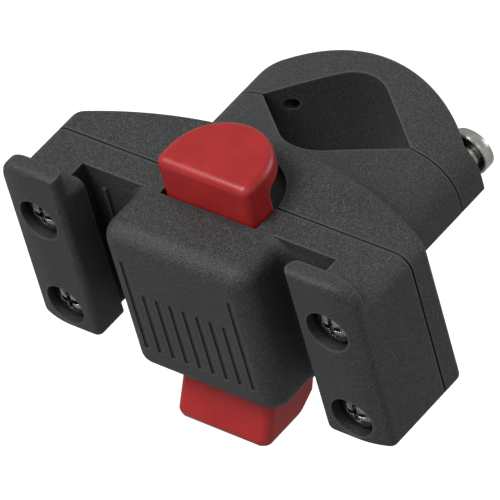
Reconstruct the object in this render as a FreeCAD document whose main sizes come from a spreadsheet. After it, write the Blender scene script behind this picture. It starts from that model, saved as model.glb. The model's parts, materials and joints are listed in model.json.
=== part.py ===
import FreeCAD, Part
import os
import math
import Sketcher

# Quick-release mount for a front basket: a two-shell housing with rail slots, a stem clamp and a latch.
# The origin is on the stem's axis. +Z runs up the stem, -Y faces the basket, +X is on the right.

doc = FreeCAD.newDocument("basket_mount")
sheet = doc.addObject("Spreadsheet::Sheet", "Sizes")

SIZES = [
    ("reach", 51.4),
    ("housing_half_width", 46.2),
    ("housing_top", 19.6),
    ("housing_bottom", 18.6),
    ("end_round_top", 3.7),
    ("end_round_low", 1.9),
    ("front_depth", 18.3),
    ("boss_proud", 1.9),
    ("boss_half_width", 19.1),
    ("boss_corner", 4.6),
    ("boss_brow", 4.4),
    ("boss_chin", 3.0),
    ("slot_depth", 11.9),
    ("slot_inner_round", 3.0),
    ("lip_half_gap", 29.7),
    ("lip_thickness", 8.0),
    ("undercut", 3.3),
    ("face_curve", 22.0),
    ("face_curve_run", 8.5),
    ("flange_rise", 5.9),
    ("flange_thickness", 4.0),
    ("flange_corner", 6.3),
    ("edge_round", 1.6),
    ("lip_round", 2.2),
    ("crease_round", 1.8),
    ("foot_round", 1.9),
    ("rib_place", 28.0),
    ("rib_width", 0.9),
    ("rib_proud", 0.6),
    ("rib_drop", 5.0),
    ("rib_end", 1.0),
    ("seam_width", 0.5),
    ("seam_depth", 0.4),
    ("groove_width", 1.2),
    ("groove_depth", 0.3),
    ("groove_pitch", 3.5),
    ("groove_low", 12.6),
    ("groove_long_top", 11.8),
    ("groove_short_top", 3.6),
    ("screw_spread", 37.6),
    ("screw_rise", 11.9),
    ("screw_shank", 4.0),
    ("screw_head", 8.7),
    ("screw_head_height", 2.9),
    ("screw_sink", 1.4),
    ("screw_bite", 7.0),
    ("screw_fit", 0.05),
    ("screw_clear", 0.35),
    ("counterbore_clear", 0.6),
    ("screw_dome", 10.0),
    ("recess_size", 4.6),
    ("recess_width", 1.1),
    ("recess_depth", 1.6),
    ("arch_radius", 98.0),
    ("arch_gap", 16.1),
    ("arch_edge", 1.6),
    ("clamp_half_width", 29.4),
    ("clamp_corner", 9.5),
    ("clamp_shoulder", 0.65),
    ("clamp_crown", 90.0),
    ("clamp_front_crown", 50.0),
    ("cap_rear_crown", 75.0),
    ("clamp_ear_low", 3.0),
    ("clamp_belly", 13.0),
    ("clamp_belly_half", 19.0),
    ("clamp_blend", 3.4),
    ("clamp_root", 8.0),
    ("ear_width", 3.2),
    ("dimple_spread", 15.3),
    ("dimple_rise", 6.6),
    ("dimple_width", 2.8),
    ("dimple_depth", 6.4),
    ("ear_edge", 0.9),
    ("cap_depth", 17.8),
    ("cap_radius", 40.0),
    ("cap_seat", 5.0),
    ("seat_clear", 0.25),
    ("half_gap", 0.3),
    ("vee_front", 15.0),
    ("vee_front_round", 10.0),
    ("vee_rear", 15.0),
    ("vee_rear_round", 10.0),
    ("bolt_inset", 6.4),
    ("bolt_web", 3.6),
    ("bolt_slack", 6.1),
    ("bolt_past", 0.6),
    ("bolt_rise", 0.8),
    ("bolt_shank", 5.0),
    ("bolt_head", 10.0),
    ("bolt_head_height", 4.2),
    ("bolt_clear", 0.2),
    ("bolt_dome", 8.0),
    ("socket_size", 1.75),
    ("socket_depth", 2.0),
    ("nut_width", 7.0),
    ("nut_height", 4.0),
    ("nut_depth", 7.5),
    ("nut_fit", 0.1),
    ("latch_half_width", 12.2),
    ("latch_front", 12.1),
    ("latch_thickness", 5.9),
    ("latch_clear", 0.3),
    ("button_top", 9.4),
    ("button_thickness", 4.2),
    ("button_edge", 1.9),
    ("button_neck", 2.2),
    ("button_side", 2.2),
    ("button_offset", 1.0),
    ("pocket_clear", 0.6),
    ("pocket_depth", 2.4),
    ("foot_half_width", 12.0),
    ("foot_depth", 12.9),
    ("foot_proud", 2.9),
    ("foot_lean", 7.4),
    ("foot_sole", 10.8),
    ("foot_heel", 14.7),
    ("foot_heel_rise", 3.6),
    ("foot_back", 2.0),
    ("foot_edge", 1.8),
    ("foot_side", 2.2),
    ("foot_gap", 0.4),
    ("window_half_width", 4.3),
    ("window_top", 12.0),
    ("window_low", 9.8),
    ("ledge_half_width", 3.8),
    ("ledge_top", 6.0),
    ("ledge_height", 3.2),
    ("spring_diameter", 5.0),
    ("spring_wire", 0.7),
    ("spring_turns", 6.5),
]

for row, (alias, value) in enumerate(SIZES, start=1):
    sheet.set("A%d" % row, alias)
    sheet.set("B%d" % row, str(value))
    sheet.setAlias("B%d" % row, alias)
doc.recompute()


class Size:
    # A length that carries both its formula for the sheet and its present value.
    def __init__(self, text, value):
        self.text = text
        self.value = value

    def join(self, other, sign, value):
        return Size("(%s %s %s)" % (self.text, sign, as_size(other).text), value)

    def __add__(self, other):
        return self.join(other, "+", self.value + as_size(other).value)

    def __sub__(self, other):
        return self.join(other, "-", self.value - as_size(other).value)

    def __mul__(self, other):
        return self.join(other, "*", self.value * as_size(other).value)

    def __truediv__(self, other):
        return self.join(other, "/", self.value / as_size(other).value)

    def __neg__(self):
        return Size("(0 - %s)" % self.text, -self.value)


def as_size(value):
    if isinstance(value, Size):
        return value
    return Size("(%r)" % value, value)


def root(size):
    return Size("sqrt(%s)" % size.text, math.sqrt(size.value))


class Names:
    pass


S = Names()
for alias, value in SIZES:
    setattr(S, alias, Size("Sizes.%s" % alias, value))

# Planes that several pieces share, measured from the stem's axis.
front_face = -S.reach
boss_face = front_face - S.boss_proud
seam = front_face + S.front_depth
slot_wall = front_face + S.slot_depth
arch_top = -S.arch_gap
parting = S.half_gap / 2
latch_face = front_face + S.latch_front
latch_back = latch_face + S.latch_thickness
latch_mid = latch_face + S.latch_thickness / 2
flange_top = S.housing_top + S.flange_rise
bolt_spread = S.clamp_half_width - S.bolt_inset
vee_half_width = bolt_spread - S.bolt_web


def bind(thing, path, size):
    thing.setExpression(path, as_size(size).text)


def new_body(name):
    body = doc.addObject("PartDesign::Body", name)
    body.Label = name
    return body


def new_sketch(body, name, plane, offset=None):
    sketch = body.newObject("Sketcher::SketchObject", name)
    for feature in body.Origin.OriginFeatures:
        if feature.Role == plane:
            sketch.AttachmentSupport = [(feature, "")]
    sketch.MapMode = "FlatFace"
    if offset is not None:
        bind(sketch, "AttachmentOffset.Base.z", offset)
    return sketch


def pin(sketch, index, end, point):
    # Ties one end of a line or arc to a position measured from the sketch's origin.
    for kind, size in (("DistanceX", point[0]), ("DistanceY", point[1])):
        size = as_size(size)
        number = sketch.addConstraint(Sketcher.Constraint(kind, -1, 1, index, end, size.value))
        bind(sketch, "Constraints[%d]" % number, size)


def loop(sketch, points, arcs=None):
    # Draws a closed outline. arcs maps a point's number to the radius of the arc that leaves it and its side.
    arcs = arcs or {}
    first = sketch.GeometryCount
    count = len(points)
    spots = [FreeCAD.Vector(as_size(p[0]).value, as_size(p[1]).value, 0) for p in points]
    flipped = {}
    for i in range(count):
        start, end = spots[i], spots[(i + 1) % count]
        if i not in arcs:
            sketch.addGeometry(Part.LineSegment(start, end), False)
            continue
        radius, side = arcs[i]
        chord = end - start
        rise = math.sqrt(max(radius.value ** 2 - (chord.Length / 2) ** 2, 1e-9))
        normal = FreeCAD.Vector(-chord.y, chord.x, 0).normalize()
        centre = (start + end) * 0.5 + normal * (rise * side)
        a0 = math.atan2(start.y - centre.y, start.x - centre.x)
        a1 = math.atan2(end.y - centre.y, end.x - centre.x)
        if side < 0:
            a0, a1 = a1, a0
            flipped[i] = True
        circle = Part.Circle(centre, FreeCAD.Vector(0, 0, 1), radius.value)
        sketch.addGeometry(Part.ArcOfCircle(circle, a0, a1), False)
    for i in range(count):
        j = (i + 1) % count
        end = 1 if i in flipped else 2
        begin = 2 if j in flipped else 1
        sketch.addConstraint(Sketcher.Constraint("Coincident", first + i, end, first + j, begin))
    for i in range(count):
        pin(sketch, first + i, 2 if i in flipped else 1, points[i])
    for i, (radius, side) in arcs.items():
        number = sketch.addConstraint(Sketcher.Constraint("Radius", first + i, radius.value))
        bind(sketch, "Constraints[%d]" % number, radius)


def box_loop(sketch, x0, y0, x1, y1):
    loop(sketch, [(x0, y0), (x1, y0), (x1, y1), (x0, y1)])


def circle_at(sketch, x, y, diameter):
    x, y, diameter = as_size(x), as_size(y), as_size(diameter)
    centre = FreeCAD.Vector(x.value, y.value, 0)
    index = sketch.addGeometry(Part.Circle(centre, FreeCAD.Vector(0, 0, 1), diameter.value / 2), False)
    pin(sketch, index, 3, (x, y))
    number = sketch.addConstraint(Sketcher.Constraint("Diameter", index, diameter.value))
    bind(sketch, "Constraints[%d]" % number, diameter)


def pad(body, sketch, length, reverse=False):
    feature = body.newObject("PartDesign::Pad", sketch.Name + "_pad")
    feature.Profile = sketch
    bind(feature, "Length", length)
    feature.Reversed = reverse
    doc.recompute()
    return feature


def cut(body, sketch, length, reverse=False):
    before = body.Shape.Volume
    feature = body.newObject("PartDesign::Pocket", sketch.Name + "_cut")
    feature.Profile = sketch
    bind(feature, "Length", length)
    feature.Reversed = reverse
    doc.recompute()
    if not body.Shape.Volume < before - 1e-6:
        raise RuntimeError("nothing was cut by " + sketch.Name)
    return feature


def soften(body, name, radius, choose):
    # Rounds the edges that the rule picks.
    base = body.Tip
    names = []
    for number, edge in enumerate(base.Shape.Edges, start=1):
        if choose(edge):
            names.append("Edge%d" % number)
    if not names:
        raise RuntimeError("no edges found for " + name)
    feature = body.newObject("PartDesign::Fillet", name)
    feature.Base = (base, names)
    bind(feature, "Radius", radius)
    doc.recompute()
    if "Invalid" in feature.State:
        raise RuntimeError("edges could not be rounded: " + name)
    return feature


def near(a, b, slack=0.02):
    return abs(a - as_size(b).value) < slack


def runs_along(edge, axis):
    # True for a straight edge along one axis.
    if not isinstance(edge.Curve, Part.Line):
        return False
    box = edge.BoundBox
    spans = {"x": box.XLength, "y": box.YLength, "z": box.ZLength}
    return all((span > 0.05) == (name == axis) for name, span in spans.items())


# Margins: how far a pad sinks into its solid, how far a cut runs past a face, and slack for picking edges.
LAP = 1
PAST = 3
PICK = 0.1
HEADROOM = 20
above = S.housing_top + HEADROOM
TALL = S.housing_top + S.housing_bottom + HEADROOM * 2


def at_end(edge, level):
    # True for an edge along Y at either end of the housing.
    middle = edge.CenterOfMass
    return runs_along(edge, "y") and near(abs(middle.x), S.housing_half_width) and near(middle.z, level)


# Front shell: a soft-edged boss, a back plate and two end blocks with raised flanges.
front = new_body("front_shell")
boss_bend_x = S.boss_half_width - S.boss_corner
boss_bend_y = boss_face + S.boss_corner
flare_x = S.boss_half_width + S.slot_inner_round
flare_y = slot_wall - S.slot_inner_round
boss_root = slot_wall + S.boss_brow + LAP
sketch = new_sketch(front, "boss_plan", "XY_Plane", -S.housing_bottom)
loop(sketch, [(-boss_bend_x, boss_face), (boss_bend_x, boss_face), (S.boss_half_width, boss_bend_y),
              (S.boss_half_width, flare_y), (flare_x, slot_wall), (flare_x, boss_root),
              (-flare_x, boss_root), (-flare_x, slot_wall), (-S.boss_half_width, flare_y),
              (-S.boss_half_width, boss_bend_y)],
     {1: (S.boss_corner, 1), 3: (S.slot_inner_round, -1), 7: (S.slot_inner_round, -1), 9: (S.boss_corner, 1)})
pad(front, sketch, S.housing_top + S.housing_bottom)


def on_boss_rim(edge, height):
    box = edge.BoundBox
    return near(box.ZMin, height) and near(box.ZMax, height) and near(box.YMin, boss_face)


soften(front, "boss_brow", S.boss_brow, lambda e: on_boss_rim(e, S.housing_top) and runs_along(e, "x"))
soften(front, "boss_chin", S.boss_chin, lambda e: on_boss_rim(e, -S.housing_bottom) and runs_along(e, "x"))

# Back plate and end blocks.
sketch = new_sketch(front, "plate_outline", "XZ_Plane", -seam)
box_loop(sketch, -S.housing_half_width, -S.housing_bottom, S.housing_half_width, S.housing_top)
pad(front, sketch, S.front_depth - S.slot_depth)
sketch = new_sketch(front, "block_outline", "XZ_Plane", -seam)
for side in (1, -1):
    box_loop(sketch, S.lip_half_gap * side, -S.housing_bottom, S.housing_half_width * side, S.housing_top)
pad(front, sketch, S.front_depth + S.boss_proud)
soften(front, "front_ends_top", S.end_round_top, lambda e: at_end(e, S.housing_top))
soften(front, "front_ends_low", S.end_round_low, lambda e: at_end(e, -S.housing_bottom))

# The flanges rise above the blocks that they front.
flange_base = S.housing_top - S.end_round_top - PAST
sketch = new_sketch(front, "flange_rise_outline", "XZ_Plane", -front_face - S.flange_thickness)
for side in (1, -1):
    inner = S.lip_half_gap * side
    outer = S.housing_half_width * side
    bend = (S.housing_half_width - S.flange_corner) * side
    points = [(inner, flange_base), (outer, flange_base), (outer, flange_top - S.flange_corner),
              (bend, flange_top), (inner, flange_top)]
    loop(sketch, points, {2: (S.flange_corner, side)})
pad(front, sketch, S.flange_thickness + S.boss_proud)
flange_back = front_face + S.flange_thickness

# A hollow fillet runs along the foot of each rise.
crease_length = S.housing_half_width - S.end_round_top - S.lip_half_gap
for name, start in (("right_crease", S.lip_half_gap), ("left_crease", -S.lip_half_gap - crease_length)):
    sketch = new_sketch(front, name, "YZ_Plane", start)
    crease_back = flange_back + S.crease_round
    loop(sketch, [(flange_back, S.housing_top - LAP), (crease_back, S.housing_top - LAP),
                  (crease_back, S.housing_top), (flange_back, S.housing_top + S.crease_round)],
         {2: (S.crease_round, -1)})
    pad(front, sketch, crease_length)

# One cut on each side curves the flange's face and hollows the slot behind its lip.
sketch = new_sketch(front, "slot_plan", "XY_Plane", above)
lip_back = front_face + S.lip_thickness
undercut_end = S.lip_half_gap + S.undercut
ahead = boss_face - PAST
beside = S.housing_half_width + PAST
curve_start = S.housing_half_width - S.face_curve_run
curve_run = beside - curve_start
curve_drop = S.face_curve - root(S.face_curve * S.face_curve - curve_run * curve_run)
edge_drop = S.face_curve - root(S.face_curve * S.face_curve - S.face_curve_run * S.face_curve_run)
for side in (1, -1):
    inside = (S.lip_half_gap - LAP) * side
    box_loop(sketch, inside, lip_back, undercut_end * side, slot_wall)
    loop(sketch, [(inside, front_face), (curve_start * side, front_face),
                  (beside * side, front_face + curve_drop), (beside * side, ahead), (inside, ahead)],
         {1: (S.face_curve, side)})
cut(front, sketch, TALL)


def on_flange_face(edge):
    # Edges round the front faces of the flanges.
    box = edge.BoundBox
    back = (front_face + edge_drop).value + PICK
    return box.YMax < back and box.XLength + box.ZLength > 3 and abs(edge.CenterOfMass.x) > 25


soften(front, "lip_feet", S.foot_round,
       lambda e: runs_along(e, "y") and near(abs(e.CenterOfMass.x), S.lip_half_gap)
       and near(e.CenterOfMass.z, -S.housing_bottom))
soften(front, "flange_edges", S.edge_round, on_flange_face)
soften(front, "lip_edges", S.lip_round,
       lambda e: runs_along(e, "y") and near(abs(e.CenterOfMass.x), S.lip_half_gap)
       and near(e.CenterOfMass.z, S.housing_top))

# A thin rib stands on the rear wall of each slot.
sketch = new_sketch(front, "slot_ribs", "XY_Plane", S.rib_end - S.housing_bottom)
for side in (1, -1):
    rib_edge = (S.rib_place + S.rib_width) * side
    box_loop(sketch, S.rib_place * side, slot_wall - S.rib_proud, rib_edge, slot_wall + LAP)
pad(front, sketch, S.housing_top + S.housing_bottom - S.rib_end - S.rib_drop)

# Channel for the latch, open at the seam, with the ledge that carries the spring.
channel_half = S.latch_half_width + S.latch_clear
channel_face = latch_face - S.latch_clear
sketch = new_sketch(front, "latch_channel", "XY_Plane", above)
box_loop(sketch, -channel_half, channel_face, channel_half, seam + LAP)
cut(front, sketch, TALL)
sketch = new_sketch(front, "spring_ledge", "XY_Plane", -S.ledge_top)
box_loop(sketch, -S.ledge_half_width, channel_face - LAP, S.ledge_half_width, latch_back)
pad(front, sketch, S.ledge_height, True)

# Screw holes with sunk heads.
screw_spots = [(S.screw_spread, S.screw_rise), (-S.screw_spread, S.screw_rise),
               (S.screw_spread, -S.screw_rise), (-S.screw_spread, -S.screw_rise)]
head_seat = S.screw_sink + S.screw_head_height
sketch = new_sketch(front, "counterbores", "XZ_Plane", -front_face + PAST)
for x, z in screw_spots:
    circle_at(sketch, x, z, S.screw_head + S.counterbore_clear * 2)
cut(front, sketch, head_seat + PAST)
sketch = new_sketch(front, "screw_holes", "XZ_Plane", -front_face + PAST)
for x, z in screw_spots:
    circle_at(sketch, x, z, S.screw_shank + S.screw_clear * 2)
cut(front, sketch, S.front_depth + PAST * 2)

# Grooves on the boss: a long one at each end and short ones between.
GROOVES_PER_SIDE = 4
sketch = new_sketch(front, "grooves", "XZ_Plane", -boss_face + LAP)
for step in range(-GROOVES_PER_SIDE, GROOVES_PER_SIDE + 1):
    top = S.groove_long_top if abs(step) == GROOVES_PER_SIDE else S.groove_short_top
    middle = S.groove_pitch * step
    box_loop(sketch, middle - S.groove_width / 2, -S.groove_low, middle + S.groove_width / 2, top)
cut(front, sketch, S.groove_depth + LAP)

# Rear shell: housing back with its arched outline, and the front half of the clamp.
rear = new_body("rear_shell")
sketch = new_sketch(rear, "rear_outline", "XZ_Plane", -seam)
box_loop(sketch, -S.housing_half_width, -S.housing_bottom, S.housing_half_width, S.housing_top)
pad(rear, sketch, arch_top - seam + PAST, True)
soften(rear, "rear_ends_top", S.end_round_top, lambda e: at_end(e, S.housing_top))
soften(rear, "rear_ends_low", S.end_round_low, lambda e: at_end(e, -S.housing_bottom))
sketch = new_sketch(rear, "seam_groove", "XZ_Plane", -seam)
box_loop(sketch, -S.housing_half_width - LAP, -S.housing_bottom - LAP,
         S.housing_half_width + LAP, S.housing_top + LAP)
inset = S.housing_half_width - S.seam_depth
top = S.housing_top - S.seam_depth
low = S.seam_depth - S.housing_bottom
high_bend = S.end_round_top - S.seam_depth
low_bend = S.end_round_low - S.seam_depth
loop(sketch, [(low_bend - inset, low), (inset - low_bend, low), (inset, low + low_bend),
              (inset, top - high_bend), (inset - high_bend, top), (high_bend - inset, top),
              (-inset, top - high_bend), (-inset, low + low_bend)],
     {1: (low_bend, 1), 3: (high_bend, 1), 5: (high_bend, 1), 7: (low_bend, 1)})
cut(rear, sketch, S.seam_width)
sketch = new_sketch(rear, "arch_plan", "XY_Plane", above)
arch_half = S.housing_half_width + PAST
arch_drop = S.arch_radius - root(S.arch_radius * S.arch_radius - arch_half * arch_half)
loop(sketch, [(-arch_half, arch_top - arch_drop), (arch_half, arch_top - arch_drop),
              (arch_half, arch_top + HEADROOM), (-arch_half, arch_top + HEADROOM)], {0: (S.arch_radius, -1)})
cut(rear, sketch, TALL)
soften(rear, "rear_rim", S.arch_edge,
       lambda e: isinstance(e.Curve, Part.Circle) and near(e.Curve.Radius, S.arch_radius)
       and (near(e.CenterOfMass.z, S.housing_top) or near(e.CenterOfMass.z, -S.housing_bottom)))


def clamp_section(sketch, crown):
    # The clamp's outline across the stem's sides: a crowned top, rounded shoulders, ears and a deeper belly.
    half = S.clamp_half_width
    reach = half - S.clamp_corner
    span = crown - S.clamp_corner
    drop = root(span * span - reach * reach)
    bend_x = crown * reach / span
    bend_z = S.clamp_shoulder - drop + crown * drop / span
    points = [
        (-S.clamp_belly_half, -S.clamp_belly),
        (S.clamp_belly_half, -S.clamp_belly),
        (half, -S.clamp_ear_low),
        (half, S.clamp_shoulder),
        (bend_x, bend_z),
        (-bend_x, bend_z),
        (-half, S.clamp_shoulder),
        (-half, -S.clamp_ear_low),
    ]
    loop(sketch, points, {3: (S.clamp_corner, 1), 4: (crown, 1), 5: (S.clamp_corner, 1)})


def loft(body, name, first, second):
    feature = body.newObject("PartDesign::AdditiveLoft", name)
    feature.Profile = first
    feature.Sections = [second]
    feature.Ruled = True
    doc.recompute()
    return feature


near_section = new_sketch(rear, "clamp_near_section", "XZ_Plane", parting)
clamp_section(near_section, S.clamp_crown)
far_section = new_sketch(rear, "clamp_far_section", "XZ_Plane", S.arch_gap + S.clamp_root)
clamp_section(far_section, S.clamp_front_crown)
loft(rear, "clamp_front", near_section, far_section)


def on_arch(point):
    return near(math.hypot(point.x, point.y - (arch_top - S.arch_radius).value), S.arch_radius)


def on_clamp_foot(edge):
    # Edges where the clamp's top and shoulders run into the arched wall.
    box = edge.BoundBox
    if not all(on_arch(vertex.Point) for vertex in edge.Vertexes):
        return False
    wall_top = S.housing_top.value - S.arch_edge.value
    foot_low = S.clamp_shoulder.value
    return box.XLength > 1 and box.ZMin > foot_low - PICK and box.ZMax < wall_top - PICK


soften(rear, "clamp_blend", S.clamp_blend, on_clamp_foot)


def vee(sketch, depth, rounding, direction):
    # Half of the stem's passage, with a rounded vertex.
    slope = root(depth * depth + vee_half_width * vee_half_width)
    half = rounding * depth / slope
    vertex = (depth - half * depth / vee_half_width) * direction
    start = -parting * direction
    loop(sketch, [(-vee_half_width, start), (-vee_half_width, as_size(0)), (-half, vertex),
                  (half, vertex), (vee_half_width, as_size(0)), (vee_half_width, start)],
         {2: (rounding, -direction)})


sketch = new_sketch(rear, "vee_front", "XY_Plane", above)
vee(sketch, S.vee_front, S.vee_front_round, -1)
cut(rear, sketch, TALL)

# Sunk pocket that takes the button when it is pressed.
button_centre = latch_back - S.button_offset


def button_plan(sketch, half, start):
    # A flat front and straight sides that run into a half circle.
    loop(sketch, [(-half, start), (half, start), (half, button_centre), (as_size(0), button_centre + half),
                  (-half, button_centre)], {2: (half, 1), 3: (half, 1)})


sketch = new_sketch(rear, "button_pocket", "XY_Plane", S.housing_top + PAST)
button_plan(sketch, S.latch_half_width + S.pocket_clear, seam - LAP)
cut(rear, sketch, S.pocket_depth + PAST)

# Pilot holes for the housing screws.
sketch = new_sketch(rear, "screw_pilots", "XZ_Plane", -seam + LAP)
for x, z in screw_spots:
    circle_at(sketch, x, z, S.screw_shank + S.screw_fit * 2)
cut(rear, sketch, S.screw_bite + LAP * 2)

# Holes for the clamp bolts and slots that keep their nuts.
bolt_spots = [(bolt_spread, S.bolt_rise), (-bolt_spread, S.bolt_rise)]
nut_near = -S.nut_depth
bolt_tip = nut_near - S.nut_height - S.bolt_past
sketch = new_sketch(rear, "bolt_holes", "XZ_Plane", -parting - LAP)
for x, z in bolt_spots:
    circle_at(sketch, x, z, S.bolt_shank + S.bolt_clear * 2)
cut(rear, sketch, parting - bolt_tip + S.bolt_slack + LAP * 2, True)
nut_half = S.nut_width / 2 + S.nut_fit
sketch = new_sketch(rear, "nut_slots", "XZ_Plane", S.nut_depth - S.nut_fit)
for x, z in bolt_spots:
    box_loop(sketch, x - nut_half, -S.clamp_belly - PAST, x + nut_half, z + nut_half)
cut(rear, sketch, S.nut_height + S.nut_fit * 2, True)

# Clamp cap: the loose rear half, with a flat seat for each bolt head.
cap = new_body("clamp_cap")
near_section = new_sketch(cap, "cap_near_section", "XZ_Plane", -parting)
clamp_section(near_section, S.clamp_crown)
far_section = new_sketch(cap, "cap_far_section", "XZ_Plane", -S.cap_depth - LAP * 2)
clamp_section(far_section, S.cap_rear_crown)
loft(cap, "cap_block", near_section, far_section)
sketch = new_sketch(cap, "cap_arc", "XY_Plane", above)
cap_half = S.clamp_half_width + PAST
ear_start = S.clamp_half_width - S.ear_width
ear_depth = S.cap_depth - S.cap_radius + root(S.cap_radius * S.cap_radius - ear_start * ear_start)
loop(sketch, [(-cap_half, ear_depth), (-ear_start, ear_depth), (ear_start, ear_depth), (cap_half, ear_depth),
              (cap_half, S.cap_depth + HEADROOM), (-cap_half, S.cap_depth + HEADROOM)],
     {1: (S.cap_radius, -1)})
cut(cap, sketch, TALL)
soften(cap, "ear_edges", S.ear_edge,
       lambda e: near(e.BoundBox.YMin, ear_depth) and near(e.BoundBox.YMax, ear_depth)
       and abs(e.CenterOfMass.x) > ear_start.value + PICK)
sketch = new_sketch(cap, "vee_rear", "XY_Plane", above)
vee(sketch, S.vee_rear, S.vee_rear_round, 1)
cut(cap, sketch, TALL)
sketch = new_sketch(cap, "dimples", "XZ_Plane", as_size(0))
for side in (1, -1):
    circle_at(sketch, S.dimple_spread * side, S.dimple_rise, S.dimple_width)
cut(cap, sketch, S.dimple_depth)
sketch = new_sketch(cap, "cap_bolt_holes", "XZ_Plane", as_size(PAST))
for x, z in bolt_spots:
    circle_at(sketch, x, z, S.bolt_shank + S.bolt_clear * 2)
cut(cap, sketch, S.cap_depth + PAST * 2)
sketch = new_sketch(cap, "bolt_seats", "XZ_Plane", -S.cap_seat)
for x, z in bolt_spots:
    circle_at(sketch, x, z, S.bolt_head + S.seat_clear * 2)
cut(cap, sketch, S.cap_depth)

# Release latch: button, shaft with the spring's window, and catch foot in one moulding.
latch = new_body("release_latch")
button_high = S.housing_top + S.button_top
button_low = button_high - S.button_thickness
foot_high = -S.housing_bottom - S.foot_gap
foot_low = -S.housing_bottom - S.foot_depth
sketch = new_sketch(latch, "shaft_plan", "XY_Plane", foot_high - LAP)
box_loop(sketch, -S.latch_half_width, latch_face, S.latch_half_width, latch_back)
pad(latch, sketch, button_low - foot_high + LAP * 2)
sketch = new_sketch(latch, "button_plan", "XY_Plane", button_low)
button_plan(sketch, S.latch_half_width, latch_face)
pad(latch, sketch, S.button_thickness)
sketch = new_sketch(latch, "foot_side", "YZ_Plane", -S.foot_half_width)
foot_tip = front_face - S.foot_proud
loop(sketch, [(foot_tip, foot_low), (foot_tip + S.foot_sole, foot_low),
              (front_face + S.foot_heel, foot_low + S.foot_heel_rise), (latch_back, foot_high - S.foot_back),
              (latch_back, foot_high), (foot_tip + S.foot_lean, foot_high)])
pad(latch, sketch, S.foot_half_width * 2)
sketch = new_sketch(latch, "spring_window", "XZ_Plane", -latch_face + LAP)
box_loop(sketch, -S.window_half_width, -S.window_low, S.window_half_width, S.window_top)
cut(latch, sketch, S.latch_thickness + LAP * 2)

soften(latch, "button_neck", S.button_neck,
       lambda e: runs_along(e, "x") and near(e.CenterOfMass.y, latch_back)
       and near(e.CenterOfMass.z, button_low))
soften(latch, "button_sides", S.button_side,
       lambda e: runs_along(e, "z") and near(abs(e.CenterOfMass.x), S.latch_half_width)
       and near(e.CenterOfMass.y, latch_face))
soften(latch, "foot_sides", S.foot_side,
       lambda e: near(abs(e.CenterOfMass.x), S.foot_half_width) and near(e.BoundBox.YMin, foot_tip)
       and near(e.BoundBox.ZMax, foot_high, 0.1) and e.BoundBox.ZLength > 3)
soften(latch, "button_top", S.button_edge,
       lambda e: near(e.BoundBox.ZMin, button_high) and near(e.BoundBox.ZMax, button_high))
soften(latch, "foot_sole", S.foot_edge,
       lambda e: near(e.BoundBox.ZMin, foot_low) and near(e.BoundBox.ZMax, foot_low))

# Spring between the ledge and the top of the window.
spring_length = S.window_top + S.ledge_top - S.spring_wire
coil = doc.addObject("Part::Helix", "spring_path")
bind(coil, "Pitch", spring_length / S.spring_turns)
bind(coil, "Height", spring_length)
bind(coil, "Radius", (S.spring_diameter - S.spring_wire) / 2)
wire = doc.addObject("Part::Circle", "spring_section")
bind(wire, "Radius", S.spring_wire / 2)
bind(wire, "Placement.Base.x", (S.spring_diameter - S.spring_wire) / 2)
wire.Placement.Rotation = FreeCAD.Rotation(FreeCAD.Vector(1, 0, 0), 90)
doc.recompute()
spring = doc.addObject("Part::Sweep", "latch_spring")
spring.Label = "latch_spring"
spring.Sections = [wire]
spring.Spine = (coil, ["Edge%d" % (i + 1) for i in range(len(coil.Shape.Edges))])
spring.Solid = True
spring.Frenet = True
bind(spring, "Placement.Base.y", latch_mid)
bind(spring, "Placement.Base.z", S.spring_wire / 2 - S.ledge_top)
doc.recompute()

# Fasteners are built on the right and mirrored.
ALONG_Y = FreeCAD.Rotation(FreeCAD.Vector(1, 0, 0), -90)


def place(thing, x, y, z):
    bind(thing, "Placement.Base.x", x)
    bind(thing, "Placement.Base.y", y)
    bind(thing, "Placement.Base.z", z)


def rod(name, diameter, start, end, x, z):
    # A cylinder along Y.
    thing = doc.addObject("Part::Cylinder", name)
    bind(thing, "Radius", as_size(diameter) / 2)
    bind(thing, "Height", end - start)
    thing.Placement.Rotation = ALONG_Y
    place(thing, x, start, z)
    return thing


def block(name, x0, y0, z0, x1, y1, z1):
    thing = doc.addObject("Part::Box", name)
    bind(thing, "Length", x1 - x0)
    bind(thing, "Width", y1 - y0)
    bind(thing, "Height", z1 - z0)
    place(thing, x0, y0, z0)
    return thing


def ball(name, radius, x, y, z):
    thing = doc.addObject("Part::Sphere", name)
    bind(thing, "Radius", radius)
    place(thing, x, y, z)
    return thing


def combine(kind, name, base, tool):
    thing = doc.addObject(kind, name)
    thing.Base = base
    thing.Tool = tool
    doc.recompute()
    return thing


def weld(name, members):
    thing = doc.addObject("Part::MultiFuse", name)
    thing.Shapes = members
    doc.recompute()
    return thing


def mirror(source, name, normal):
    thing = doc.addObject("Part::Mirroring", name)
    thing.Source = source
    thing.Base = (0, 0, 0)
    thing.Normal = normal
    doc.recompute()
    return thing


def group(name, members):
    thing = doc.addObject("Part::Compound", name)
    thing.Label = name
    thing.Links = members
    doc.recompute()
    return thing


# Housing screws: domed heads with a cross recess.
screw_x, screw_z = S.screw_spread, S.screw_rise
screw_top = front_face + S.screw_sink
screw_seat = screw_top + S.screw_head_height
head = rod("screw_head_side", S.screw_head, screw_top - LAP, screw_seat, screw_x, screw_z)
dome = ball("screw_head_dome", S.screw_dome, screw_x, screw_top + S.screw_dome, screw_z)
head = combine("Part::Common", "screw_head", head, dome)
shank = rod("screw_shank", S.screw_shank, screw_seat - LAP, seam + S.screw_bite, screw_x, screw_z)
screw = weld("screw_plain", [head, shank])
long_half = S.recess_size / 2
thin_half = S.recess_width / 2
recess_end = screw_top + S.recess_depth
across = block("recess_across", screw_x - long_half, screw_top - LAP, screw_z - thin_half,
               screw_x + long_half, recess_end, screw_z + thin_half)
upright = block("recess_upright", screw_x - thin_half, screw_top - LAP, screw_z - long_half,
                screw_x + thin_half, recess_end, screw_z + long_half)
cross = combine("Part::Fuse", "recess_cross", across, upright)
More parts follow.
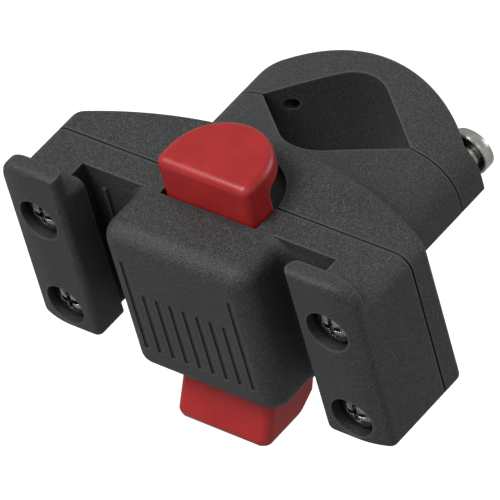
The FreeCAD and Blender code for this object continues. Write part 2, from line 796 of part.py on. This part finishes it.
screw = combine("Part::Cut", "screw_one", screw, cross)
screw_row = group("screw_row", [screw, mirror(screw, "screw_two", (1, 0, 0))])
screws = group("housing_screws", [screw_row, mirror(screw_row, "screw_low_row", (0, 0, 1))])

# Clamp bolts: button heads with a hexagon socket. The right one is backed out, the left one is screwed home.
bolt_x, bolt_z = bolt_spread, S.bolt_rise
bolt_length = S.cap_seat + S.bolt_slack - bolt_tip


def button_bolt(name, x, seat):
    top = seat + S.bolt_head_height
    side = rod(name + "_head_side", S.bolt_head, seat, top + LAP, x, bolt_z)
    dome = ball(name + "_head_dome", S.bolt_dome, x, top - S.bolt_dome, bolt_z)
    head = combine("Part::Common", name + "_head", side, dome)
    shank = rod(name + "_shank", S.bolt_shank, seat - bolt_length, seat + LAP, x, bolt_z)
    plain = weld(name + "_plain", [head, shank])
    socket = doc.addObject("Part::Prism", name + "_socket")
    socket.Polygon = 6
    bind(socket, "Circumradius", S.socket_size)
    bind(socket, "Height", S.socket_depth + LAP)
    socket.Placement.Rotation = ALONG_Y
    place(socket, x, top - S.socket_depth, bolt_z)
    return combine("Part::Cut", name, plain, socket)


right_bolt = button_bolt("right_bolt", bolt_x, S.cap_seat + S.bolt_slack)
left_bolt = button_bolt("left_bolt", -bolt_x, S.cap_seat)
bolts = group("clamp_bolts", [right_bolt, left_bolt])

# Square nuts in the slots of the rear shell.
half = S.nut_width / 2
nut_far = nut_near - S.nut_height
nut = block("nut_block", bolt_x - half, nut_far, bolt_z - half, bolt_x + half, nut_near, bolt_z + half)
thread = rod("nut_thread", S.bolt_shank + S.screw_fit * 2, nut_far - LAP, nut_near + LAP, bolt_x, bolt_z)
nut = combine("Part::Cut", "nut_one", nut, thread)
nuts = group("clamp_nuts", [nut, mirror(nut, "nut_two", (1, 0, 0))])

# Every object is checked before anything is written.
pieces = [front, rear, cap, latch, spring, screws, bolts, nuts]
doc.recompute()
for thing in doc.Objects:
    if "Invalid" in thing.State or "Error" in thing.State:
        raise RuntimeError("failed: " + thing.Label + " " + thing.getStatusString())
for piece in pieces:
    if piece.Shape.isNull() or not piece.Shape.isValid():
        raise RuntimeError("bad shape: " + piece.Label)
os.makedirs("parts", exist_ok=True)
for piece in pieces:
    piece.Shape.exportStep("parts/%s.step" % piece.Label)
    box = piece.Shape.BoundBox
    print(piece.Label, len(piece.Shape.Solids), round(piece.Shape.Volume, 1),
          [round(v, 1) for v in (box.XMin, box.XMax, box.YMin, box.YMax, box.ZMin, box.ZMax)])
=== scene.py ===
import json
import math
import bpy
from mathutils import Matrix, Vector


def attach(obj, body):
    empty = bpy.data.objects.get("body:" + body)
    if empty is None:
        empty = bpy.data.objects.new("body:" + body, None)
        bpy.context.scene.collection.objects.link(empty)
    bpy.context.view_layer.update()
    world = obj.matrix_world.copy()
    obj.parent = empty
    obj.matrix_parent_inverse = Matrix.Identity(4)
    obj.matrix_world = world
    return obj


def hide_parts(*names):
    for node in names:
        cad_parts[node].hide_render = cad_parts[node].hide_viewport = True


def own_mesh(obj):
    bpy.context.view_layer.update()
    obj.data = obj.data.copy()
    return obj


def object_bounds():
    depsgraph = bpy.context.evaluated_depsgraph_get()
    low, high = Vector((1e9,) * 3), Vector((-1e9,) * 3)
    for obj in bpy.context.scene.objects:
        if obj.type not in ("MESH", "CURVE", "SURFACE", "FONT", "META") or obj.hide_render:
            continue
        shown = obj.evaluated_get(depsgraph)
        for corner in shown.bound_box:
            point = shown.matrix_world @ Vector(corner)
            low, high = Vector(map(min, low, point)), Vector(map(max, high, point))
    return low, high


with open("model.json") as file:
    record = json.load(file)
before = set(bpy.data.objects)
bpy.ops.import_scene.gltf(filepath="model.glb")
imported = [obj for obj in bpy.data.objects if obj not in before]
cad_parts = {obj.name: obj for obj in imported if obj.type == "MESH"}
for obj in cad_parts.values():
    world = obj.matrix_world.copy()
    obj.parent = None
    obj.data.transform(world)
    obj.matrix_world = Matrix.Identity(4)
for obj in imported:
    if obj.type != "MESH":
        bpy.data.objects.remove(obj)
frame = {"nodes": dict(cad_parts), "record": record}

CAD_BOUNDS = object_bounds()

# Lengths are in metres, angles in radians, colours linear and noise scales in cells per metre.

# Camera: a long lens, close to a parallel view, turned so that the stem's axis leans to the left.
AIM = Vector((0.00465, -0.03584, 0.00741))
VIEW_AZIMUTH = math.radians(49.2)
VIEW_ELEVATION = math.radians(41.28)
VIEW_ROLL = math.radians(-16.43)
VIEW_DISTANCE = 1.5
VIEW_LIMIT = 20.0
FOCAL_LENGTH_MM = 540.0
SENSOR_WIDTH_MM = 36.0

# Stage. Each light has a name, a place, a diameter and a power in watts.
FLOOR_DROP = 0.15
FLOOR_SIZE = 6.0
FLOOR_COLOUR = (0.95, 0.95, 0.95)
FLOOR_ROUGHNESS = 0.9
WORLD_COLOUR = (1, 1, 1)
WORLD_LEVEL = 0.42
LIGHT_AIM = (0, -0.02, 0)
LIGHTS = [
    ("key", (-0.55, -0.90, 1.85), 1.3, 52.0),
    ("fill", (1.2, -0.5, 0.9), 0.6, 2.4),
    ("back", (0.9, 1.6, 0.25), 0.9, 9.0),
]

# Housing: spark-eroded mould grain on dark plastic. Stops are places on the noise with their colours.
HOUSING_STOPS = [
    (0.36, (0.0108, 0.0114, 0.0114)),
    (0.52, (0.0238, 0.0247, 0.0247)),
    (0.70, (0.090, 0.094, 0.093)),
]
# Painted highlight along sharp outer edges.
HOUSING_HIGHLIGHT = (0.052, 0.054, 0.053)
# Painted shade in crevices and concave corners.
HOUSING_PAINTED_SHADE = (0.003, 0.003, 0.003)
HOUSING_GRAIN = 3600.0
HOUSING_PATCHES = 60.0
HOUSING_ROUGHNESS = (0.42, 0.54)
HOUSING_SPECULAR = 0.36
HOUSING_RELIEF = 0.8
HOUSING_DEPTH = 0.00022

# Latch: satin red plastic, faintly mottled.
LATCH_STOPS = [(0.3, (0.26, 0.0090, 0.0090)), (0.7, (0.315, 0.0125, 0.0125))]
# Painted highlight along the latch's sharp outer edges.
LATCH_HIGHLIGHT = (0.42, 0.040, 0.036)
LATCH_GRAIN = 1800.0
LATCH_PATCHES = 160.0
LATCH_ROUGHNESS = (0.30, 0.42)
LATCH_SPECULAR = 0.42
LATCH_RELIEF = 0.35
LATCH_DEPTH = 0.00010

# Steel: each kind mixes a bright and a dull colour.
ZINC = (0.66, 0.65, 0.62)
ZINC_DULL = (0.50, 0.50, 0.48)
ZINC_ROUGHNESS = (0.20, 0.30)
SCREW_ZINC = (0.42, 0.42, 0.40)
SCREW_ZINC_DULL = (0.12, 0.12, 0.115)
SCREW_ROUGHNESS = (0.12, 0.24)
SCREW_PATCHES = 900.0
SCREW_RELIEF = 0.9
SPRING_STEEL = (0.30, 0.30, 0.31)
SPRING_ROUGHNESS = (0.30, 0.45)
STEEL_STOPS = (0.35, 0.6)
STEEL_PATCHES = 260.0
STEEL_RELIEF = 0.15
STEEL_DEPTH = 0.00005

# Painted highlights along edges and painted shade in crevices. Spans are parts of a measure's range that
# are stretched over another range.
SOFT_EDGE = 0.00035
ROUND_EDGE = 0.0014
EDGE_SAMPLES = 6
OCCLUSION_SAMPLES = 8
HIGHLIGHT_REACH = 0.0006
HIGHLIGHT_SPAN = (0.95, 0.60)
SHADE_REACH = 0.004
SHADE_SPAN = (0.28, 0.86)
NOISE_SPAN = (0.3, 0.7)
UNIT_SPAN = (0.0, 1.0)

# Facets of the CAD mesh.
CREASE = math.radians(28)
WELD_DISTANCE = 1e-6


def add_nodes(material):
    # Clears a material and returns its tree and a shader joined to the output.
    material.use_nodes = True
    tree = material.node_tree
    tree.nodes.clear()
    output = tree.nodes.new("ShaderNodeOutputMaterial")
    shader = tree.nodes.new("ShaderNodeBsdfPrincipled")
    tree.links.new(shader.outputs["BSDF"], output.inputs["Surface"])
    return tree, shader


def noise(tree, scale, detail, roughness=0.5):
    place = tree.nodes.new("ShaderNodeTexCoord")
    node = tree.nodes.new("ShaderNodeTexNoise")
    node.inputs["Scale"].default_value = scale
    node.inputs["Detail"].default_value = detail
    node.inputs["Roughness"].default_value = roughness
    tree.links.new(place.outputs["Object"], node.inputs["Vector"])
    return node.outputs["Fac"]


def ramp(tree, source, stops):
    node = tree.nodes.new("ShaderNodeValToRGB")
    while len(node.color_ramp.elements) < len(stops):
        node.color_ramp.elements.new(0.5)
    for element, (position, colour) in zip(node.color_ramp.elements, stops):
        element.position = position
        element.color = (*colour, 1.0)
    tree.links.new(source, node.inputs["Fac"])
    return node.outputs["Color"]


def span(tree, source, old, new):
    node = tree.nodes.new("ShaderNodeMapRange")
    names = ("From Min", "From Max", "To Min", "To Max")
    for name, value in zip(names, (*old, *new)):
        node.inputs[name].default_value = value
    tree.links.new(source, node.inputs["Value"])
    return node.outputs["Result"]


def soft_edges(tree, radius):
    # Shades sharp edges as if they were rounded.
    node = tree.nodes.new("ShaderNodeBevel")
    node.samples = EDGE_SAMPLES
    node.inputs["Radius"].default_value = radius
    return node.outputs["Normal"]


def bump(tree, height, strength, distance, normal):
    node = tree.nodes.new("ShaderNodeBump")
    node.inputs["Strength"].default_value = strength
    node.inputs["Distance"].default_value = distance
    tree.links.new(height, node.inputs["Height"])
    tree.links.new(normal, node.inputs["Normal"])
    return node.outputs["Normal"]


def occlusion(tree, reach):
    node = tree.nodes.new("ShaderNodeAmbientOcclusion")
    node.samples = OCCLUSION_SAMPLES
    node.inputs["Distance"].default_value = reach
    return node


def edge_highlight(tree):
    # Painted highlight mask: one along sharp outer edges, where a look into the solid soon meets another
    # face, and nought on flats.
    node = occlusion(tree, HIGHLIGHT_REACH)
    node.inside = True
    node.only_local = True
    return span(tree, node.outputs["AO"], HIGHLIGHT_SPAN, UNIT_SPAN)


def painted_shade_mask(tree):
    # Painted shade mask: nought deep in a crevice, where the darkest shade is painted, and one where the
    # surface lies open.
    node = occlusion(tree, SHADE_REACH)
    return span(tree, node.outputs["AO"], SHADE_SPAN, UNIT_SPAN)


def mix(tree, factor, first, second):
    # Each of the two is a colour or the output of a node.
    node = tree.nodes.new("ShaderNodeMix")
    node.data_type = "RGBA"
    tree.links.new(factor, node.inputs["Factor"])
    for name, colour in (("A", first), ("B", second)):
        socket = [s for s in node.inputs if s.name == name and s.type == "RGBA"][0]
        if isinstance(colour, tuple):
            socket.default_value = (*colour, 1.0)
        else:
            tree.links.new(colour, socket)
    return [s for s in node.outputs if s.type == "RGBA"][0]


def housing_plastic():
    # Pale flecks in the grain, a painted highlight along sharp outer edges and painted shade in crevices.
    material = bpy.data.materials.new("housing_plastic")
    tree, shader = add_nodes(material)
    grain = noise(tree, HOUSING_GRAIN, detail=4.0, roughness=0.65)
    patches = noise(tree, HOUSING_PATCHES, detail=4.0)
    rounded = soft_edges(tree, SOFT_EDGE)
    speckle = ramp(tree, grain, HOUSING_STOPS)
    # Painted highlight along sharp outer edges.
    highlighted = mix(tree, edge_highlight(tree), speckle, HOUSING_HIGHLIGHT)
    # Painted shade in crevices and concave corners.
    shaded = mix(tree, painted_shade_mask(tree), HOUSING_PAINTED_SHADE, highlighted)
    rough = span(tree, patches, NOISE_SPAN, HOUSING_ROUGHNESS)
    relief = bump(tree, grain, HOUSING_RELIEF, HOUSING_DEPTH, rounded)
    tree.links.new(shaded, shader.inputs["Base Color"])
    tree.links.new(rough, shader.inputs["Roughness"])
    tree.links.new(relief, shader.inputs["Normal"])
    shader.inputs["Specular IOR Level"].default_value = HOUSING_SPECULAR
    return material


def latch_plastic():
    # Faint mottling, with a painted highlight along sharp outer edges.
    material = bpy.data.materials.new("latch_plastic")
    tree, shader = add_nodes(material)
    patches = noise(tree, LATCH_PATCHES, detail=5.0, roughness=0.6)
    grain = noise(tree, LATCH_GRAIN, detail=3.0)
    rounded = soft_edges(tree, SOFT_EDGE)
    mottled = ramp(tree, patches, LATCH_STOPS)
    # Painted highlight along sharp outer edges.
    highlighted = mix(tree, edge_highlight(tree), mottled, LATCH_HIGHLIGHT)
    rough = span(tree, patches, NOISE_SPAN, LATCH_ROUGHNESS)
    relief = bump(tree, grain, LATCH_RELIEF, LATCH_DEPTH, rounded)
    tree.links.new(highlighted, shader.inputs["Base Color"])
    tree.links.new(rough, shader.inputs["Roughness"])
    tree.links.new(relief, shader.inputs["Normal"])
    shader.inputs["Specular IOR Level"].default_value = LATCH_SPECULAR
    return material


def steel(name, bright, dull, roughness, scale=STEEL_PATCHES, strength=STEEL_RELIEF, edge=SOFT_EDGE):
    # Metal with bright and dull patches that are also smoother and rougher.
    material = bpy.data.materials.new(name)
    tree, shader = add_nodes(material)
    patches = noise(tree, scale, detail=5.0)
    colour = ramp(tree, patches, list(zip(STEEL_STOPS, (dull, bright))))
    rough = span(tree, patches, NOISE_SPAN, roughness)
    relief = bump(tree, patches, strength, STEEL_DEPTH, soft_edges(tree, edge))
    tree.links.new(colour, shader.inputs["Base Color"])
    tree.links.new(rough, shader.inputs["Roughness"])
    tree.links.new(relief, shader.inputs["Normal"])
    shader.inputs["Metallic"].default_value = 1.0
    return material


# Looks by the record's material slots.
MATERIALS = {
    "housing_plastic": housing_plastic(),
    "latch_plastic": latch_plastic(),
    "bright_steel": steel("bright_steel", ZINC, ZINC_DULL, ZINC_ROUGHNESS, edge=ROUND_EDGE),
    "spring_steel": steel("spring_steel", SPRING_STEEL, ZINC_DULL, SPRING_ROUGHNESS),
}

# The sunk screws get a darker steel than the bolts, though both have the same slot.
OWN_LOOKS = {
    "housing_screws": steel("screw_steel", SCREW_ZINC, SCREW_ZINC_DULL, SCREW_ROUGHNESS,
                            SCREW_PATCHES, SCREW_RELIEF),
}


def dress_node(node, material):
    # Joins the facets of a CAD node, smooths its curved faces and gives it its material.
    node.data.materials.clear()
    node.data.materials.append(material)
    node.data.polygons.foreach_set("use_smooth", [True] * len(node.data.polygons))
    weld = node.modifiers.new("join_facets", "WELD")
    weld.merge_threshold = WELD_DISTANCE
    split = node.modifiers.new("keep_edges", "EDGE_SPLIT")
    split.split_angle = CREASE


for part in frame["record"]["subparts"]:
    look = OWN_LOOKS.get(part["node"], MATERIALS[part["material_slot"]])
    dress_node(frame["nodes"][part["node"]], look)


def add_spring():
    # A copy of the coil, carried by the housing, stands in for the CAD node.
    node = frame["nodes"]["latch_spring"]
    coil = bpy.data.objects.new("latch_coil", node.data.copy())
    bpy.context.scene.collection.objects.link(coil)
    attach(coil, "housing")
    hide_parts("latch_spring")
    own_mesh(coil)


def add_floor():
    # A backdrop only: hidden from diffuse and glossy rays, it doesn't lighten the dark plastic.
    half = FLOOR_SIZE / 2
    level = CAD_BOUNDS[0][2] - FLOOR_DROP
    corners = [(-half, -half, level), (half, -half, level), (half, half, level), (-half, half, level)]
    mesh = bpy.data.meshes.new("floor")
    mesh.from_pydata(corners, [], [(0, 1, 2, 3)])
    floor = bpy.data.objects.new("floor", mesh)
    bpy.context.scene.collection.objects.link(floor)
    material = bpy.data.materials.new("pale_floor")
    shader = add_nodes(material)[1]
    shader.inputs["Base Color"].default_value = (*FLOOR_COLOUR, 1.0)
    shader.inputs["Roughness"].default_value = FLOOR_ROUGHNESS
    mesh.materials.append(material)
    floor.visible_diffuse = False
    floor.visible_glossy = False


def add_light(name, place, size, power):
    data = bpy.data.lights.new(name, "AREA")
    data.shape = "DISK"
    data.size = size
    data.energy = power
    light = bpy.data.objects.new(name, data)
    light.location = place
    light.rotation_euler = (Vector(LIGHT_AIM) - Vector(place)).to_track_quat("-Z", "Y").to_euler()
    bpy.context.scene.collection.objects.link(light)


def add_world():
    world = bpy.data.worlds.new("studio")
    world.use_nodes = True
    background = world.node_tree.nodes["Background"]
    background.inputs["Color"].default_value = (*WORLD_COLOUR, 1)
    background.inputs["Strength"].default_value = WORLD_LEVEL
    bpy.context.scene.world = world


def add_camera():
    data = bpy.data.cameras.new("photo_view")
    data.sensor_fit = "HORIZONTAL"
    data.sensor_width = SENSOR_WIDTH_MM
    data.lens = FOCAL_LENGTH_MM
    data.clip_end = VIEW_LIMIT
    camera = bpy.data.objects.new("photo_view", data)
    flat = math.cos(VIEW_ELEVATION)
    back = Vector((flat * math.sin(VIEW_AZIMUTH), -flat * math.cos(VIEW_AZIMUTH),
                   math.sin(VIEW_ELEVATION)))
    level = Vector((math.cos(VIEW_AZIMUTH), math.sin(VIEW_AZIMUTH), 0.0))
    up = back.cross(level)
    right = level * math.cos(VIEW_ROLL) + up * math.sin(VIEW_ROLL)
    top = back.cross(right)
    turn = Matrix((right, top, back)).transposed().to_4x4()
    camera.matrix_world = Matrix.Translation(AIM + back * VIEW_DISTANCE) @ turn
    bpy.context.scene.collection.objects.link(camera)
    bpy.context.scene.camera = camera


add_spring()
add_floor()
add_world()
for light_setup in LIGHTS:
    add_light(*light_setup)
add_camera()
bpy.context.scene.view_settings.view_transform = "Standard"
